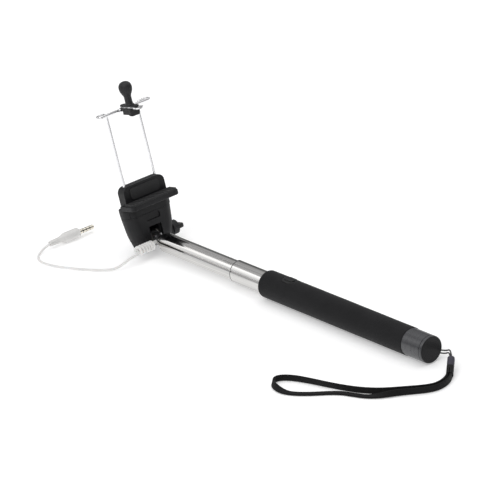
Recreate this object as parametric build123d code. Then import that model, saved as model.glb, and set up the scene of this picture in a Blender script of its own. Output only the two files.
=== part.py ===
from build123d import *
import math
import os

# Wired selfie stick: a spring clamp for a phone on a tilting head, six telescopic
# tubes, a foam grip with a shutter button, a signal lead and a wrist strap.
# Millimetres. The model is built about the head's tilt axle: +X runs down the stick
# to the grip, +Y along the axle to the thumb screw, +Z up. It is then moved so that
# the origin is the middle of its footprint, on the surface that the grip lies on.

# ---------------------------------------------------------------- driving sizes
HEAD_LEAN = 11.9          # the clamp leans back this far from upright, in degrees
PHONE_OPENING = 63.0      # between the jaw pad and the hook pad, on the closed stop

TUBE_RADII = [8.3, 7.45, 6.6, 5.75, 4.9, 4.05]
TUBE_WALL = 0.4
TUBE_FRONTS = [99.0, 18.2, 16.6, 15.0, 13.2, 11.4]
OUTER_TUBE_REAR = 291.0
INNER_TUBE_LENGTH = 183.0
LIP_LENGTH = 1.5
LIP_CLEARANCE = 0.06
GROOVE_DEPTH = 0.7
GROOVE_HALF_WIDTH = 1.0
GROOVE_ANGLE = 157.0      # round the tube from +Y towards +Z
SLIP_LENGTH = 8.0
SLIP_CLEARANCE = 0.04

GRIP_FRONT = 132.4
GRIP_REAR = 283.2
GRIP_RADIUS = 10.0
CAP_RADIUS = 9.65
CAP_REAR = 303.0

BUTTON_X = 157.5
BUTTON_LENGTH = 9.8
BUTTON_WIDTH = 4.8
BUTTON_TOP = 10.9

AXLE_RADIUS = 2.0
AXLE_CLEARANCE = 0.05
TONGUE_HALF = 3.2
WASHER_THICKNESS = 1.1

NECK_TOP = 26.4
BACK_TOP = 43.0
BACK_FRONT = 6.2
SPLIT_X = 2.4             # the shells part on the plane of the two rods
ROD_Y = 14.0
ROD_RADIUS = 1.15
CHANNEL_RADIUS = 2.55
CHANNEL_FLOOR = 8.8
CHANNEL_TOP = 40.5
ROD_FOOT = 9.0

JAW_FRONT = 17.5
JAW_HALF = 21.5
JAW_TOP = 30.0
PAD_TOP = 31.4
BAR_Z = 97.9
BAR_FRONT_X = 7.2
BAR_HALF = 22.9
PLATE_BOTTOM = 98.55
PLATE_TOP = 99.65
FLANGE_THICKNESS = 1.2
KNOB_X = 14.0
FINGER_EYE_X = 25.4       # the eye at the front end of the hook plate

LEAD_RADIUS = 1.0
CURL_RADIUS = 3.8
EXIT_X = 9.9
STRAP_THICKNESS = 1.3
STRAP_WIDTH = 4.6
LOOP_RADIUS = 0.5

FLOOR = -GRIP_RADIUS      # the surface that the grip and the cords lie on

# ---------------------------------------------------------------- free cords
# Routes are lists of points about the axle, chosen along the way each cord lies.
LEAD_START = [(EXIT_X, -3.0, 0.0), (EXIT_X, -8.6, 0.0)]
CURL_X = EXIT_X + CURL_RADIUS - LEAD_RADIUS
CURL_ENDS = (-8.6, -24.0)
LEAD_ROUTE = [
    (12.7, -24.0, -2.8), (12.7, -29.8, -2.8), (12.0, -35.4, -5.2), (9.0, -41.2, -8.4),
    (3.0, -47.0, -9.0), (-6.0, -53.1, -9.0), (-16.0, -58.6, -9.0), (-28.0, -64.0, -9.0),
    (-40.0, -67.4, -9.0), (-50.5, -67.0, -9.0), (-58.3, -61.6, -9.0), (-61.6, -54.0, -7.4),
    (-62.2, -47.5, -6.0),
]
PLUG_TAIL = (-62.2, -47.5, -6.0)
PLUG_TIP_WAY = (0.02, 1.0, 0.0)

LOOP_PIN = (299.5, 7.1, -4.27)
LOOP_RADIAL = (0.0, 0.857, -0.515)
LOOP_ROUND = (0.0, 0.515, 0.857)
SLEEVE_TOP = (319.4, 2.6, -2.2)
SLEEVE_END = (329.2, -8.4, -7.4)
STRAP_ROUTE = [
    (329.2, -6.8), (331.6, -9.6), (334.4, -14.2), (336.1, -20.0), (335.9, -26.6), (332.2, -33.4),
    (325.8, -41.0), (319.6, -49.2), (313.2, -56.8), (305.6, -62.4), (297.4, -65.6),
    (290.4, -68.2), (284.6, -72.2), (279.0, -77.6), (273.0, -83.4), (265.8, -89.0),
    (257.4, -92.8), (248.8, -92.6), (242.4, -89.4), (240.2, -84.4), (243.6, -79.6),
    (251.2, -75.4), (262.4, -71.8), (275.4, -68.4), (288.0, -64.4), (299.0, -59.8),
    (308.2, -54.2), (315.6, -47.2), (322.4, -39.2), (329.0, -31.6), (332.6, -25.6),
    (332.9, -20.2), (331.6, -15.2), (329.5, -11.2), (327.5, -8.4),
]


# ---------------------------------------------------------------- helpers
def turned_y(shape, x, z):
    """A shape drawn about +Z, turned to lie along +Y and put at x, z."""
    return Pos(x, 0, z) * Rot(-90, 0, 0) * shape


def rod_y(radius, y0, y1, x=0.0, z=0.0):
    return turned_y(Pos(0, 0, (y0 + y1) / 2) * Cylinder(radius, abs(y1 - y0)), x, z)


def rod_x(radius, x0, x1, y=0.0, z=0.0):
    return Pos((x0 + x1) / 2, y, z) * Rot(0, 90, 0) * Cylinder(radius, abs(x1 - x0))


def rod_z(radius, z0, z1, x=0.0, y=0.0):
    return Pos(x, y, (z0 + z1) / 2) * Cylinder(radius, z1 - z0)


def block(x0, x1, y0, y1, z0, z1):
    centre = Pos((x0 + x1) / 2, (y0 + y1) / 2, (z0 + z1) / 2)
    return centre * Box(x1 - x0, y1 - y0, z1 - z0)


def grooved_disc(radius):
    """A round face in the YZ plane with the anti-twist groove in its edge."""
    notch = Polyline(
        (radius - GROOVE_DEPTH, 0),
        (radius + 1, GROOVE_HALF_WIDTH * (1 + 1 / GROOVE_DEPTH)),
        (radius + 1, -GROOVE_HALF_WIDTH * (1 + 1 / GROOVE_DEPTH)),
        close=True,
    )
    return Circle(radius) - Rot(0, 0, GROOVE_ANGLE) * make_face(notch)


def along_x(face, x0, x1):
    return extrude(Plane.YZ.offset(x0) * face, x1 - x0)


def arc_radii(points):
    """The fillet at each corner of a cord's route: 0.45 of the shorter run over the
    tangent of half the turn."""
    radii = []
    for before, corner, after in zip(points, points[1:], points[2:]):
        run_in = Vector(*corner) - Vector(*before)
        run_out = Vector(*after) - Vector(*corner)
        half_turn = math.radians(run_in.get_angle(run_out)) / 2
        radii.append(0.45 * min(run_in.length, run_out.length) / math.tan(half_turn))
    return radii


def cord_path(name, points, radii=None):
    radii = radii or arc_radii(points)
    path = FilletPolyline(*points, radius=radii)
    print(name, "length", round(path.length, 1), "radii", [round(r, 1) for r in radii])
    return path


def round_cord(name, points, radius, radii=None):
    """A plain tube along a route, checked against its section times its length."""
    if len(points) > 2:
        path = cord_path(name, points, radii)
    else:
        path = Line(*points)
        print(name, "length", round(path.length, 1))
    start = Plane(origin=path @ 0, z_dir=path % 0)
    tube = sweep(start * Circle(radius), path=path)
    print("  volume ratio", round(tube.volume / (math.pi * radius**2 * path.length), 4))
    return tube


# ---------------------------------------------------------------- handle
def outer_tube():
    radius = TUBE_RADII[0]
    front = TUBE_FRONTS[0]
    return telescopic_tube(radius, front, OUTER_TUBE_REAR, TUBE_RADII[1])


def telescopic_tube(radius, front, rear, next_radius=None):
    """A grooved tube whose front end is rolled in round the next smaller one."""
    wall_end = front + LIP_LENGTH if next_radius else front
    tube = along_x(grooved_disc(radius), front, rear)
    tube -= along_x(grooved_disc(radius - TUBE_WALL), wall_end, rear)
    if next_radius:
        tube -= along_x(grooved_disc(next_radius + LIP_CLEARANCE), front, wall_end)
    return tube


def slip_ring(radius, rear):
    """The open spring ring on a tube's rear end, which rubs in the tube outside it."""
    outer = radius + (TUBE_RADII[0] - TUBE_RADII[1]) - TUBE_WALL - SLIP_CLEARANCE
    ring = along_x(Circle(outer) - Circle(radius), rear - 1 - SLIP_LENGTH, rear - 1)
    gap = Rot(0, 0, GROOVE_ANGLE) * Pos(radius, 0) * Rectangle(radius, radius)
    return ring - along_x(gap, rear - 2 - SLIP_LENGTH, rear)


def foam_grip():
    grip = rod_x(GRIP_RADIUS, GRIP_FRONT, GRIP_REAR)
    front_edge = grip.edges().filter_by(GeomType.CIRCLE).sort_by(Axis.X)[0]
    grip = fillet(front_edge, 1.4)
    grip = chamfer(grip.edges().filter_by(GeomType.CIRCLE).sort_by(Axis.X)[-1], 0.3)
    grip -= rod_x(TUBE_RADII[0], GRIP_FRONT - 1, GRIP_REAR + 1)
    grip -= button_outline(BUTTON_LENGTH + 3.0, BUTTON_WIDTH + 3.0, 6.0, 12.0)
    return grip - block(BUTTON_X, GRIP_REAR + 1, -0.6, 0.6, 8.0, 9.3)


def button_outline(length, width, z0, z1):
    face = SlotOverall(length, width)
    return extrude(Plane.XY.offset(z0) * Pos(BUTTON_X, 0) * face, z1 - z0)


def button_frame():
    """The oval surround of the shutter button, seated on the outer tube."""
    frame = button_outline(BUTTON_LENGTH + 3.0, BUTTON_WIDTH + 3.0, 6.0, 10.1)
    frame = fillet(frame.faces().sort_by(Axis.Z)[-1].edges(), 0.5)
    frame -= button_outline(BUTTON_LENGTH + 0.4, BUTTON_WIDTH + 0.4, 5.0, 11.0)
    frame -= rod_x(TUBE_RADII[0], GRIP_FRONT, GRIP_REAR)
    return frame - block(BUTTON_X, GRIP_REAR, -0.6, 0.6, 8.0, 9.3)


def button_switch():
    """The flat dome switch under the button, with its carrier."""
    carrier = block(BUTTON_X - 4.2, BUTTON_X + 4.2, -2.0, 2.0, 8.3, 8.8)
    return carrier + rod_z(1.8, 8.8, 9.1, BUTTON_X)


def shutter_button():
    button = button_outline(BUTTON_LENGTH, BUTTON_WIDTH, 9.6, BUTTON_TOP)
    return fillet(button.faces().sort_by(Axis.Z)[-1].edges(), 0.7)


def button_wire():
    """The switch's wire, laid in the slot under the foam."""
    return block(BUTTON_X + 4.3, GRIP_REAR - 0.1, -0.5, 0.5, 8.32, 9.2)


def end_cap():
    cap = rod_x(CAP_RADIUS, GRIP_REAR, CAP_REAR)
    cap = fillet(cap.edges().filter_by(GeomType.CIRCLE).sort_by(Axis.X)[-1], 0.9)
    ring = rod_x(CAP_RADIUS + 1, CAP_REAR - 2.6, CAP_REAR - 2.2)
    cap -= ring - rod_x(CAP_RADIUS - 0.25, CAP_REAR - 3, CAP_REAR - 2)
    cap -= rod_x(TUBE_RADII[0] + 0.02, GRIP_REAR - 1, OUTER_TUBE_REAR + 0.2)
    turn = Rot(math.degrees(math.atan2(LOOP_RADIAL[2], LOOP_RADIAL[1])), 0, 0)
    pocket = turn * block(297.4, 301.6, 6.4, 11.0, -2.4, 2.4)
    pin = turn * rod_x(0.5, 297.0, 302.0, 8.28, 0)
    return cap - (pocket - pin)


def rear_plug():
    """The plug in the outer tube's rear end, which anchors the coiled signal lead."""
    plug = along_x(grooved_disc(TUBE_RADII[0] - TUBE_WALL), 284.2, OUTER_TUBE_REAR)
    return plug - rod_x(1.2, 284, 292)


def signal_coil():
    """Outer shape of the coiled lead that runs through all the tubes."""
    return rod_x(2.7, 23.2, 284.2)


# ---------------------------------------------------------------- tongue, lead
def tongue():
    """The fitting in the smallest tube's end: a plug, a collar and the hinge eye."""
    front = TUBE_FRONTS[-1]
    plug = along_x(grooved_disc(TUBE_RADII[-1] - TUBE_WALL), front, 23.0)
    collar = rod_x(TUBE_RADII[-1], 8.4, front)
    web = block(0, 8.4, -TONGUE_HALF, TONGUE_HALF, -4.0, 4.0)
    eye = rod_y(5.0, -TONGUE_HALF, TONGUE_HALF)
    body = plug + collar + web + eye
    body -= rod_y(AXLE_RADIUS + AXLE_CLEARANCE, -6, 6)
    body -= rod_x(LEAD_RADIUS + 0.05, EXIT_X, 24)
    return body - rod_y(LEAD_RADIUS + 0.35, -6, 0, EXIT_X)


def lead_grommet():
    grommet = rod_y(LEAD_RADIUS + 0.35, -5.4, -1.5, EXIT_X)
    return grommet - rod_y(LEAD_RADIUS, -6, 0, EXIT_X)


def lead_curl():
    return rod_y(CURL_RADIUS, CURL_ENDS[1], CURL_ENDS[0], CURL_X, 0)


def plug_place(start=0.0):
    """A plane on the plug's axis, start mm from its tail, facing its tip."""
    way = Vector(*PLUG_TIP_WAY).normalized()
    return Plane(origin=Vector(*PLUG_TAIL) + way * start, x_dir=(1, 0, 0), z_dir=way)


def plug_body():
    """The moulded plug: a slim ribbed tail that swells to a round barrel."""
    outline = Polyline(
        (1.05, 0), (2.1, 0), (2.1, 0.8), (2.4, 8.0), (3.0, 11.0), (3.8, 13.0),
        (4.0, 15.0), (4.0, 25.2), (3.4, 26.0), (0, 26.0), (0, 2.0), (1.05, 2.0),
        close=True,
    )
    body = revolve(Plane.XZ * make_face(outline), Axis.Z)
    for rib in range(5):
        z = 1.8 + 1.3 * rib
        body -= Pos(0, 0, z) * (Cylinder(3.2, 0.5) - Cylinder(1.85 + 0.045 * z, 0.5))
    return plug_place() * body


def jack_pin():
    """The four-pole 3.5 mm pin."""
    pin = Cylinder(1.75, 14.0)
    pin = Pos(0, 0, 7.0) * chamfer(pin.edges().sort_by(Axis.Z)[-1], 0.9)
    return plug_place(26.0) * pin


# ---------------------------------------------------------------- strap
def offset_from(point, *steps):
    x, y, z = point
    for way, amount in steps:
        x, y, z = x + way[0] * amount, y + way[1] * amount, z + way[2] * amount
    return (x, y, z)


def strap_loop():
    """The thin cord round the cap's pin, both of whose ends go into the sleeve."""
    points = [(319.4, 3.1, -1.9)]
    for side in (1, -1):
        strand = [
            offset_from((312.6, 7.8, -1.9), (LOOP_ROUND, 0.9 * side)),
            offset_from((306.8, 11.4, -4.2), (LOOP_ROUND, side)),
            offset_from((302.8, 12.9, -6.6), (LOOP_ROUND, side)),
            offset_from((299.9, 10.7, -6.44), (LOOP_ROUND, side)),
            offset_from(LOOP_PIN, (LOOP_RADIAL, -1.02), (LOOP_ROUND, 1.02 * side)),
        ]
        points += strand if side == 1 else strand[::-1]
    points.append((319.0, 2.2, -2.6))
    return round_cord("strap_loop", points, LOOP_RADIUS)


def strap_sleeve():
    """The moulded sleeve that joins the thin loop to the webbing."""
    way = (Vector(*SLEEVE_END) - Vector(*SLEEVE_TOP)).normalized()
    place = Plane(origin=SLEEVE_TOP, x_dir=(way.Y, -way.X, 0), z_dir=way)
    length = (Vector(*SLEEVE_END) - Vector(*SLEEVE_TOP)).length
    sleeve = extrude(RectangleRounded(4.8, 5.4, 1.9), length)
    sleeve = fillet(sleeve.faces().sort_by(Axis.Z)[0].edges(), 0.7)
    sleeve -= Pos(0, 0, length) * Box(0.5, 7, 9.0)
    return place * sleeve


def strap_webbing():
    """One length of flat webbing on its edge: out along the table and back."""
    path = cord_path("strap_webbing", [(x, y, 0) for x, y in STRAP_ROUTE])
    section = Plane(origin=path @ 0, x_dir=(0, 0, 1), z_dir=path % 0)
    face = section * Rectangle(STRAP_WIDTH, STRAP_THICKNESS)
    ribbon = sweep(face, path=path)
    area = STRAP_WIDTH * STRAP_THICKNESS
    print("  volume ratio", round(ribbon.volume / (area * path.length), 4))
    return Pos(0, 0, FLOOR + STRAP_WIDTH / 2) * ribbon


# ---------------------------------------------------------------- head shells
def neck_form():
    """The neck's outer form, oval in plan, tapering to its foot."""
    sections = [(-5.2, 24.0, 10.6, 5.0), (-1.0, 32.4, 15.2, 7.2), (9.0, 38.2, 16.0, 7.6),
                (19.0, 40.6, 16.0, 7.6), (NECK_TOP, 41.2, 16.0, 7.6)]
    faces = [Plane.XY.offset(z) * RectangleRounded(depth, width, corner)
             for z, width, depth, corner in sections]
    return loft(faces)


def head_form():
    back = extrude(Plane.YZ.offset(-2.2) * Pos(0, (BACK_TOP + 20) / 2)
                   * Rectangle(37.0, BACK_TOP - 20), BACK_FRONT + 2.2)
    back = fillet(back.edges().filter_by(Axis.X).group_by(Axis.Z)[-1], 5.0)
    back = fillet(back.faces().sort_by(Axis.X)[0].edges(), 1.0)
    jaw = block(2.0, JAW_FRONT, -JAW_HALF, JAW_HALF, NECK_TOP, JAW_TOP)
    jaw = fillet(jaw.edges().filter_by(Axis.Z).group_by(Axis.X)[-1], 3.2)
    jaw = fillet(jaw.faces().sort_by(Axis.Z)[0].edges(), 0.8)
    form = neck_form() + back + jaw
    boss = rod_y(4.6, 12.0, 17.0)
    return form + boss


def head_cavities():
    """Everything cut out of both shells: slot, rod channels, screw and nut seats."""
    slot = block(-5.6, 9.5, -4.45, 4.45, -7, 9.5)
    mouth = block(6.2, 9.5, -5.5, 5.5, -7, 9.5)
    cuts = slot + mouth
    cuts += block(-6.0, 6.2, -6.5, 6.5, 12.0, 24.6)
    cuts += rod_y(AXLE_RADIUS + AXLE_CLEARANCE, -20, 20)
    cuts += rod_y(6.0, 17.0, 26.0)
    nut_seat = extrude(RegularPolygon(4.1, 6), 5.0)
    cuts += turned_y(Pos(0, 0, -17.6) * nut_seat, 0, 0)
    for side in (-1, 1):
        cuts += rod_z(CHANNEL_RADIUS, CHANNEL_FLOOR, CHANNEL_TOP, SPLIT_X, side * ROD_Y)
        cuts += rod_z(ROD_RADIUS + 0.06, CHANNEL_TOP - 1, BACK_TOP + 1, SPLIT_X, side * ROD_Y)
    cuts += crease()
    badge = Plane.YZ.offset(7.2) * Pos(0, 16.0) * RectangleRounded(13.0, 4.4, 1.4)
    cuts += extrude(badge, 1.5)
    return cuts + screw_solids(0.02)


def crease():
    """The fine line where the neck's straight collar meets its taper."""
    slab = block(-12, 12, -25, 25, 19.4, 19.8)
    inside = Plane.XY.offset(19.0) * RectangleRounded(15.5, 40.1, 7.3)
    return slab - extrude(inside, 1.2)


def screw_solids(clearance=0.0):
    """Four small screws put in from the back, heads in counterbores."""
    screws = None
    places = [(-8.0, 9.0, 17.4), (-8.0, -9.0, 17.4), (-2.2, 5.0, 37.0), (-2.2, -5.0, 37.0)]
    for x, y, z in places:
        head = rod_x(1.9 + clearance, x - (1 if clearance else -0.4), x + 1.5, y, z)
        shank = rod_x(0.95 + clearance, x + 1.4, 5.6, y, z)
        screw = head + shank
        screws = screw if screws is None else screws + screw
    return screws


def head_shells():
    form = head_form() - head_cavities()
    front = form & block(SPLIT_X, 40, -60, 60, -20, 80)
    rear = form & block(-40, SPLIT_X, -60, 60, -20, 80)
    return front, rear


def jaw_pad():
    """The ribbed rubber pad that the phone's lower edge stands on."""
    pad = block(BACK_FRONT + 0.6, 17.3, -20.6, 20.6, JAW_TOP, PAD_TOP)
    pad = fillet(pad.edges().filter_by(Axis.Z).group_by(Axis.X)[-1], 3.0)
    for step in range(13):
        y = -18.0 + 3.0 * step
        pad -= block(BACK_FRONT + 1.4, 16.2, y - 0.5, y + 0.5, PAD_TOP - 0.5, PAD_TOP + 1)
    return pad


def back_pad():
    pad = block(BACK_FRONT, BACK_FRONT + 0.6, -13, 13, 32.6, 41.0)
    return fillet(pad.edges().filter_by(Axis.X), 2.4)


def friction_washers():
    washers = None
    for side in (-1, 1):
        inner = side * (TONGUE_HALF + 0.05)
        outer = side * (TONGUE_HALF + 0.05 + WASHER_THICKNESS)
        washer = rod_y(4.6, inner, outer) - rod_y(AXLE_RADIUS + AXLE_CLEARANCE, inner * 0.5, outer * 2)
        washers = washer if washers is None else washers + washer
    return washers


def hinge_nut():
    nut = turned_y(Pos(0, 0, -16.0) * extrude(RegularPolygon(4.0, 6), 3.2), 0, 0)
    return nut - rod_y(AXLE_RADIUS + AXLE_CLEARANCE, -20, -10)


def clamp_spring(side):
    """A compression spring round a rod: a coil as long as its channel leaves."""
    turns = 11
    wire = 0.3
    low = ROD_FOOT + 1.6 + wire
    high = CHANNEL_TOP - 0.1 - wire
    helix = Helix(pitch=(high - low) / turns, height=high - low, radius=1.95)
    start = Plane(origin=helix @ 0, z_dir=helix % 0)
    coil = sweep(start * Circle(wire), path=helix, is_frenet=True)
    return Pos(SPLIT_X, side * ROD_Y, low) * coil


# ---------------------------------------------------------------- thumb screw
def thumb_knob():
    """A round hub with grip flutes and one flat wing across its face."""
    hub = rod_y(5.3, 17.4, 22.2)
    for step in range(18):
        angle = math.radians(20 * step)
        hub -= rod_y(0.45, 17, 23, 5.5 * math.cos(angle), 5.5 * math.sin(angle))
    hub = hub - rod_y(6, 22.2, 24)
    wing = block(-4.6, 4.6, 21.0, 27.4, -1.6, 1.6)
    wing = fillet(wing.edges().filter_by(Axis.Z).group_by(Axis.Y)[-1], 2.6)
    wing = fillet(wing.faces().sort_by(Axis.Y)[-1].edges().filter_by(Axis.X), 0.8)
    knob = hub + wing
    return knob - rod_y(AXLE_RADIUS, 17, 20.5)


def hinge_bolt():
    return rod_y(AXLE_RADIUS, -16.2, 20.5)


# ---------------------------------------------------------------- clamp bail
def wire_bail():
    """One bent wire: a leg, a hairpin, the front bar, a hairpin and the other leg."""
    points = [
        (SPLIT_X, -ROD_Y, ROD_FOOT), (SPLIT_X, -ROD_Y, BAR_Z), (SPLIT_X, -BAR_HALF, BAR_Z),
        (BAR_FRONT_X, -BAR_HALF, BAR_Z), (BAR_FRONT_X, BAR_HALF, BAR_Z),
        (SPLIT_X, BAR_HALF, BAR_Z), (SPLIT_X, ROD_Y, BAR_Z), (SPLIT_X, ROD_Y, ROD_FOOT),
    ]
    hairpin = 0.49 * (BAR_FRONT_X - SPLIT_X)
    return round_cord("wire_bail", points, ROD_RADIUS, [3.0] + [hairpin] * 4 + [3.0])


def rod_feet():
    """The collars on the wire's two ends, which the springs push down on."""
    feet = None
    for side in (-1, 1):
        foot = rod_z(2.35, ROD_FOOT, ROD_FOOT + 1.6, SPLIT_X, side * ROD_Y)
        foot -= rod_z(ROD_RADIUS, ROD_FOOT - 1, ROD_FOOT + 3, SPLIT_X, side * ROD_Y)
        feet = foot if feet is None else feet + foot
    return feet


def top_plate():
    """The chrome hook: rolled round the front bar, a tab turned down, an eye at its front end."""
    plate = block(BAR_FRONT_X, FINGER_EYE_X, -2.7, 2.7, PLATE_BOTTOM, PLATE_TOP)
    plate += rod_z(3.2, PLATE_BOTTOM, PLATE_TOP, FINGER_EYE_X)
    plate += block(BAR_FRONT_X, 9.2, -5.5, 5.5, PLATE_BOTTOM, PLATE_TOP)
    plate += rod_y(PLATE_TOP - BAR_Z, -5.5, 5.5, BAR_FRONT_X, BAR_Z)
    plate += block(17.1, 18.1, -2.7, 2.7, 93.9, PLATE_TOP)
    plate -= rod_y(ROD_RADIUS, -8, 8, BAR_FRONT_X, BAR_Z)
    plate -= rod_z(1.2, PLATE_BOTTOM - 1, PLATE_TOP + 1, FINGER_EYE_X)
    return plate - rod_z(1.2, PLATE_BOTTOM - 1, PLATE_TOP + 1, KNOB_X)


def hook_pad():
    """The rubber boot on the hook's tab, with the pad under its plate."""
    pad = block(16.3, 18.9, -4.2, 4.2, 93.0, PLATE_BOTTOM)
    pad = fillet(pad.edges().filter_by(Axis.X).group_by(Axis.Z)[0], 1.8)
    pad += block(9.6, 16.4, -4.2, 4.2, PAD_TOP + PHONE_OPENING, PLATE_BOTTOM)
    pad += block(16.4, 22.0, -2.2, 2.2, PLATE_BOTTOM - 1.6, PLATE_BOTTOM)
    pad -= block(17.1, 18.1, -2.7, 2.7, 93.9, PLATE_TOP)
    return pad - rod_z(2.3, PAD_TOP + PHONE_OPENING - 1, PLATE_BOTTOM + 1, KNOB_X)


def knob_flange():
    """The long dark base under the knob, which lies along the plate."""
    flange = extrude(SlotOverall(20.0, 5.0), FLANGE_THICKNESS)
    flange = fillet(flange.faces().sort_by(Axis.Z)[-1].edges(), 0.4)
    flange = Pos(KNOB_X - 0.5, 0, PLATE_TOP) * flange
    return flange - rod_z(1.2, PLATE_TOP - 1, PLATE_TOP + 3, KNOB_X)


def pull_knob():
    """The egg-shaped knob on its stem."""
    base = PLATE_TOP + FLANGE_THICKNESS
    outline = [Line((0, base), (3.4, base)), Line((3.4, base), (2.75, base + 0.8)),
               Line((2.75, base + 0.8), (2.7, base + 6.1)),
               Spline((2.7, base + 6.1), (4.0, base + 8.8), (4.9, base + 12.5),
                      (3.9, base + 15.9), (0, base + 17.5),
                      tangents=[(0.55, 1), (-1, 0)]),
               Line((0, base + 17.5), (0, base))]
    knob = revolve(Plane.XZ * make_face(Wire(outline)), Axis.Z)
    return Pos(KNOB_X, 0, 0) * knob - rod_z(1.2, PLATE_TOP, base + 6.5, KNOB_X)


def knob_stud():
    """The screw through the plate that holds the knob."""
    head = rod_z(2.1, PLATE_BOTTOM - 2.0, PLATE_BOTTOM, KNOB_X)
    return head + rod_z(1.2, PLATE_BOTTOM - 1.0, PLATE_TOP + 7.5, KNOB_X)


# ---------------------------------------------------------------- assembly
def stick_parts():
    parts = {
        "foam_grip": foam_grip(),
        "outer_tube": outer_tube(),
        "end_cap": end_cap(),
        "rear_plug": rear_plug(),
        "signal_coil": signal_coil(),
        "button_frame": button_frame(),
        "button_switch": button_switch(),
        "button_wire": button_wire(),
        "shutter_button": shutter_button(),
        "tongue": tongue(),
        "lead_grommet": lead_grommet(),
    }
    for index in range(1, len(TUBE_RADII)):
        radius = TUBE_RADII[index]
        front = TUBE_FRONTS[index]
        rear = front + INNER_TUBE_LENGTH
        inner = TUBE_RADII[index + 1] if index + 1 < len(TUBE_RADII) else None
        parts[f"tube_{index + 1}"] = telescopic_tube(radius, front, rear, inner)
        parts[f"slip_{index + 1}"] = slip_ring(radius, rear)
    return parts


def head_parts():
    """The head, modelled upright and then leaned back about the axle."""
    front, rear = head_shells()
    parts = {
        "front_shell": front,
        "rear_shell": rear,
        "jaw_pad": jaw_pad(),
        "back_pad": back_pad(),
        "friction_washers": friction_washers(),
        "hinge_nut": hinge_nut(),
        "shell_screws": screw_solids(),
        "spring_left": clamp_spring(-1),
        "spring_right": clamp_spring(1),
        "thumb_knob": thumb_knob(),
        "hinge_bolt": hinge_bolt(),
        "wire_bail": wire_bail(),
        "rod_feet": rod_feet(),
        "top_plate": top_plate(),
        "hook_pad": hook_pad(),
        "knob_flange": knob_flange(),
        "pull_knob": pull_knob(),
        "knob_stud": knob_stud(),
    }
    return {name: Rot(0, -HEAD_LEAN, 0) * shape for name, shape in parts.items()}


def cord_parts():
    return {
        "lead_start": round_cord("lead_start", LEAD_START, LEAD_RADIUS),
        "lead_curl": lead_curl(),
        "lead_run": round_cord("lead_run", LEAD_ROUTE, LEAD_RADIUS),
        "plug_body": plug_body(),
        "jack_pin": jack_pin(),
        "strap_loop": strap_loop(),
        "strap_sleeve": strap_sleeve(),
        "strap_webbing": strap_webbing(),
    }


def main():
    solid_parts = stick_parts() | head_parts()
    cords = cord_parts()
    box = Compound(children=[Compound(p.solids()) for p in solid_parts.values()]).bounding_box()
    centre_x = (box.min.X + box.max.X) / 2
    centre_y = (box.min.Y + box.max.Y) / 2
    to_origin = Pos(-centre_x, -centre_y, -box.min.Z)
    print("axle at", round(-centre_x, 3), round(-centre_y, 3), round(-box.min.Z, 3))
    os.makedirs("parts", exist_ok=True)
    for name, shape in (solid_parts | cords).items():
        moved = to_origin * Compound(shape.solids())
        solids = moved.solids()
        export_step(solids[0] if len(solids) == 1 else Compound(solids), f"parts/{name}.step")


if __name__ == "__main__":
    main()
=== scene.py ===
# Wired selfie stick: looks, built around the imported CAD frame
import math

import bpy
from mathutils import Matrix, Vector


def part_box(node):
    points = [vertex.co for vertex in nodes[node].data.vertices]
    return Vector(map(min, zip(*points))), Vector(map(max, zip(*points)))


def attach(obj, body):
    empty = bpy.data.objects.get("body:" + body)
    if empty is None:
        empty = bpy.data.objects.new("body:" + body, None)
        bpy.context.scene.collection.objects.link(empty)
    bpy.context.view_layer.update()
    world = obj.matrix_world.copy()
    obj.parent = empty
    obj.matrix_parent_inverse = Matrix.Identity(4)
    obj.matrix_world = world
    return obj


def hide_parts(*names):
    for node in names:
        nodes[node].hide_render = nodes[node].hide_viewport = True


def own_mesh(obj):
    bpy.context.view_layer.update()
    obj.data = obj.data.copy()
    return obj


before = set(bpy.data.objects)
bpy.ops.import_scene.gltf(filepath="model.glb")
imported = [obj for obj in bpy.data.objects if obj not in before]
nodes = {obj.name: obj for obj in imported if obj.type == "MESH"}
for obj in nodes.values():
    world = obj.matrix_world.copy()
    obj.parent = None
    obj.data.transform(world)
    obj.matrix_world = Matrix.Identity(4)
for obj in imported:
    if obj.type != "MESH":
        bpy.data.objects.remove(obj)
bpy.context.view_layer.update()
mm = 0.001

# where the tilt axle sits in the frame, in mm, and how far the clamp leans back
axle = {"at": (-142.006, -1.675, 10.0), "lean": 11.9}


def place(x, y, z):
    return Vector(tuple((v + o) * mm for v, o in zip((x, y, z), axle["at"])))


headTurn = Matrix.Rotation(math.radians(-axle["lean"]), 4, "Y")


def headPlace(x, y, z):
    return place(*(headTurn @ Vector((x, y, z))))


# ---- shader helpers

def newMaterial(name, colour, roughness=0.5, metallic=0.0):
    material = bpy.data.materials.new(name)
    material.use_nodes = True
    tree = material.node_tree
    shader = next(n for n in tree.nodes if n.type == "BSDF_PRINCIPLED")
    shader.inputs["Base Color"].default_value = (*colour, 1)
    shader.inputs["Roughness"].default_value = roughness
    shader.inputs["Metallic"].default_value = metallic
    coords = tree.nodes.new("ShaderNodeTexCoord")
    return {"material": material, "tree": tree, "shader": shader, "coords": coords}


def addNode(kit, kind, inputs=None, **settings):
    node = kit["tree"].nodes.new(kind)
    for key, value in settings.items():
        setattr(node, key, value)
    for key, value in (inputs or {}).items():
        node.inputs[key].default_value = value
    return node


def link(kit, fromSocket, toSocket):
    kit["tree"].links.new(fromSocket, toSocket)


def mapped(kit, scale=(1, 1, 1), turn=(0, 0, 0), source="Object"):
    node = addNode(kit, "ShaderNodeMapping", {"Scale": scale, "Rotation": turn})
    link(kit, kit["coords"].outputs[source], node.inputs["Vector"])
    return node.outputs["Vector"]


def noise(kit, vector, scale, detail=3.0, rough=0.6, distortion=0.0):
    node = addNode(kit, "ShaderNodeTexNoise", {"Scale": scale, "Detail": detail, "Roughness": rough,
                                              "Distortion": distortion})
    link(kit, vector, node.inputs["Vector"])
    return node.outputs["Fac"]


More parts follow.
